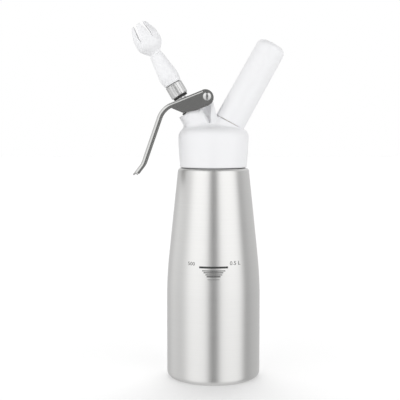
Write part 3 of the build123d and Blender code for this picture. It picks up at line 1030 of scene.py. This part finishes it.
tip_rounding = 8.0
tip_reach = 150.0                   # past the lever's other end
sheet_edge = 0.18
edge_angle = 40                     # edges that fold by more are broken


def lever_line(depth):
    """Corners of the lever's outer line from over the pivot to the tip, or of one deeper in the sheet."""
    heading = pi + radians(lever_slope)
    along = Vector((cos(heading), 0, sin(heading)))
    across = Vector((sin(heading), 0, -cos(heading)))
    point = pivot / mm + across * (lever_rise - depth) + along * lever_end_offset
    corners = [(point.x, point.z)]
    before = 0
    for run, bend, radius in lever_runs:
        trim = depth * tan(radians(bend) / 2)
        point = point + Vector((cos(heading), 0, sin(heading))) * (run - before - trim)
        setback = abs((radius - (depth if bend > 0 else -depth)) * tan(radians(bend) / 2))
        corners.append((point.x, point.z, setback))
        before = trim
        heading += radians(bend)
    return corners


def slab(outline, near, away, folded=0, fold=0):
    """A closed outline in the XZ plane made a plate between two places along Y. Along its first corners the
    plate's long edges may be folded round by a radius."""
    shape = bmesh.new()
    groups = rounded_line(shape, outline, closed=True)
    line = {(point.co.x, point.co.z) for group in groups[:folded] for point in group}
    face = bmesh.ops.contextual_create(shape, geom=shape.edges[:])["faces"]
    bmesh.ops.translate(shape, vec=(0, near * mm, 0), verts=shape.verts)
    grown = bmesh.ops.extrude_face_region(shape, geom=face)["geom"]
    moved = [item for item in grown if isinstance(item, bmesh.types.BMVert)]
    bmesh.ops.translate(shape, vec=(0, (away - near) * mm, 0), verts=moved)
    bmesh.ops.recalc_face_normals(shape, faces=shape.faces)
    if folded:
        edges = [
            edge for edge in shape.edges
            if edge.verts[0].co.y == edge.verts[1].co.y
            and all((end.co.x, end.co.z) in line for end in edge.verts)
        ]
        bmesh.ops.bevel(shape, geom=edges, offset=fold * mm, segments=fold_segments, profile=0.5,
                        affect="EDGES", material=-1)
    return shape


def channel(name, top, bottom, half, overrun):
    """The lever's block between two lines of its sheet, with its upper long edges folded round. Both its
    ends may run on past the lever's."""
    upper = lever_line(top)
    lower = lever_line(bottom)[::-1]
    for end, before in ((0, 1), (-1, -2)):
        way = (Vector(upper[end][:2]) - Vector(upper[before][:2])).normalized()
        upper[end] = tuple(Vector(upper[end][:2]) + way * overrun)
        lower[-1 - end] = tuple(Vector(lower[-1 - end][:2]) + way * overrun)
    return show(name, slab(upper + lower, -half, half, len(upper), fold_radius - top), crease=fold_crease)


lever = channel("bent_lever", 0, flange_depth, lever_half_width, 0)
room = channel("room", sheet, lever_rise + flange_depth, lever_half_width - sheet, 2 * overcut)
merge(lever, [room], "DIFFERENCE")

web_turn = Matrix.Translation(pivot) @ Matrix.Rotation(-radians(lever_slope), 4, "Y")
cheek_end = cheek_length + cheek_slant + cheek_run_out
cheek_foot = lever_rise - 2 * lever_end
cheek_outline = []
for step in range(lever_end_steps + 1):
    turn = pi / 2 - pi * step / lever_end_steps
    cheek_outline.append((
        cos(turn) * lever_end - lever_end_offset,
        sin(turn) * lever_end + lever_rise - lever_end,
    ))
cheek_outline += [
    (-cheek_length, cheek_foot, cheek_rounding),
    (-cheek_length - cheek_slant, cheek_foot + cheek_narrow, cheek_softness),
    (-cheek_end, lever_rise - flange_depth),
    (-cheek_end, lever_rise - fold_radius),
    (-lever_end_offset, lever_rise - fold_radius),
]
for side in (-1, 1):
    plate = slab(cheek_outline, side * (lever_half_width - sheet), side * lever_half_width)
    merge(lever, [show("cheek", plate, web_turn)])

slot_place = valve_place @ move(0, 0, pivot_lift)
slot_plan = []
for x, y in around(stem_slot_steps):
    shift = stem_slot_reach * (1 if x > 0 else -1) / 2 + stem_slot_shift
    slot_plan.append((x * stem_slot_half + shift, y * stem_slot_half))
slot = hull("slot", [at(slot_place, x, y, z) for x, y in slot_plan for z in (0, 2 * lever_half_width)])
bar = rod("pin_room", pin_radius, -2 * lever_half_width, 2 * lever_half_width, pivot_place)
merge(lever, [slot, bar], "DIFFERENCE")

heading = radians(180 + lever_slope + sum(bend for run, bend, radius in lever_runs))
tip_x, tip_z = lever_line(0)[-1][:2]
tip_place = move(tip_x, 0, tip_z) @ Matrix.Rotation(-heading, 4, "Y") @ facing
tip_half = lever_half_width + overcut
plan = slab([
    (-tip_reach, -tip_half),
    (0, -tip_half, tip_rounding),
    (0, tip_half, tip_rounding),
    (-tip_reach, tip_half),
], -tip_reach, tip_reach)
merge(lever, [show("plan", plan, tip_place)], "INTERSECT")
edges = lever.modifiers.new("edges", "BEVEL")
edges.width = sheet_edge * mm
edges.segments = 2
edges.limit_method = "ANGLE"
edges.angle_limit = radians(edge_angle)
settle(lever)
lever.data.set_sharp_from_angle(angle=radians(crease_angle))
flat = lever.modifiers.new("flat", "WEIGHTED_NORMAL")
flat.keep_sharp = True
settle(lever)
sheet_steel = grained("sheet_steel", (0.60, 0.60, 0.59), metallic=1.0, roughness=0.22,
                      cells=(2200, 25, 2200), detail=3.0, spread=0.12, least=0.14,
                      dark=(0.54, 0.54, 0.53), light=(0.64, 0.64, 0.63))
dress(lever, sheet_steel, "lever")
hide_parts("lever")


# ---- pivot pin ----
# A steel pin with a domed head at the front, held by a pressed-on cap at the back.
shaft_radius = 2.5
shaft_edge = 0.3
face_gap = 0.05
head_radius = 3.5
head_rise = 1.5
head_edge = 0.15
dome_foot = 0.35                    # share of the head's height where its dome starts
dome_brow = 0.92
dome_flat = 0.6                     # share of its radius
dome_softness = 1.2
cap_radius = 3.4
cap_rise = 2.6
cap_edge = 0.6
shaft_overhang = 1.3                # past the lever's side plate

shaft_end = lever_half_width + shaft_overhang
head_base = lever_half_width + face_gap
pin = turned("domed_pin", [
    (0, -shaft_end),
    (shaft_radius, -shaft_end, shaft_edge),
    (shaft_radius, head_base),
    (head_radius, head_base, head_edge),
    (head_radius, head_base + head_rise * dome_foot, shaft_edge),
    (head_radius * dome_flat, head_base + head_rise * dome_brow, dome_softness),
    (0, head_base + head_rise),
], pivot_place)
dress(pin, steel, "head")
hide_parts("pivot_pin")
cap = turned("pressed_cap", [
    (shaft_radius, -lever_half_width - face_gap, fine_edge),
    (cap_radius, -lever_half_width - face_gap, head_edge),
    (cap_radius, -lever_half_width - cap_rise, cap_edge),
    (0, -lever_half_width - cap_rise - face_gap),
    (0, -shaft_end - face_gap),
    (shaft_radius, -shaft_end - face_gap),
], pivot_place)
dress(cap, steel, "head")
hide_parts("pin_cap")


# ---- charger and its stub ----
# A turned brass stub with a hollow piercing pin stands in the head. The steel gas charger is pressed on the
# pin, and a check valve under the stub lets its gas into the bottle.
stub_radius = 9.1
stub_crest = 9.5
stub_pitch = 1.75
stub_thread_foot = 2.0
stub_top = 10.2
stub_foot = -0.45
stub_edge = 0.4
stub_rounding = 0.5
shank_radius = 7.2
well_radius = 4.7
seal_seat = 1.4
pin_well = 1.1

stub = turned("threaded_stub", [
    (pin_well, -shank_depth + face_gap),
    (shank_radius, -shank_depth + face_gap, stub_edge),
    (shank_radius, stub_foot),
    (stub_radius, stub_foot, fine_edge),
    (stub_radius, stub_top, stub_rounding),
    (well_radius, stub_top, stub_edge),
    (well_radius, seal_seat),
    (pin_well, seal_seat),
], charger_place, closed=True)
merge(stub, [thread("stub_thread", stub_radius, stub_crest, stub_pitch, stub_thread_foot, charger_place)])
brass = grained("turned_brass", (0.70, 0.60, 0.38), metallic=1.0, roughness=0.3,
                cells=(200, 200, 1500), detail=3.0, spread=0.15, least=0.22,
                dark=(0.62, 0.52, 0.32), light=(0.74, 0.64, 0.42))
dress(stub, brass, "head")
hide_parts("piercing_body")
finish_node("piercing_pin", steel)
finish_node("charger_seal", silicone)
finish_node("gas_check_valve", silicone)
finish_node("charger", sheet_steel)


# ---- charger holder ----
# A tube over the charger, moulded in the head's white plastic. It is round and closed at its top, narrows a
# little upwards, and screws on the stub.
holder_foot = -0.2
holder_mouth = 10.4
holder_bore = 9.6
holder_lead = 10.8
holder_end = 68.95
holder_radius = 13.1
holder_top_radius = 12.6
holder_length = 75.2
holder_rounding = 6.0
rim_edge = 0.15
mouth_edge = 0.3
lead_edge = 0.2
bore_flat = 0.3                     # radius left flat at the bore's round end

holder = turned("charger_tube", [
    (0, holder_length),
    (holder_top_radius, holder_length, holder_rounding),
    (holder_radius, holder_foot, rim_edge),
    (holder_mouth, holder_foot, mouth_edge),
    (holder_mouth, holder_lead),
    (holder_bore, holder_lead, lead_edge),
    (holder_bore, holder_end, holder_bore - bore_flat),
    (0, holder_end),
], charger_place, holder_steps)
dress(holder, white_plastic, "holder")
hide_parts("charger_holder")
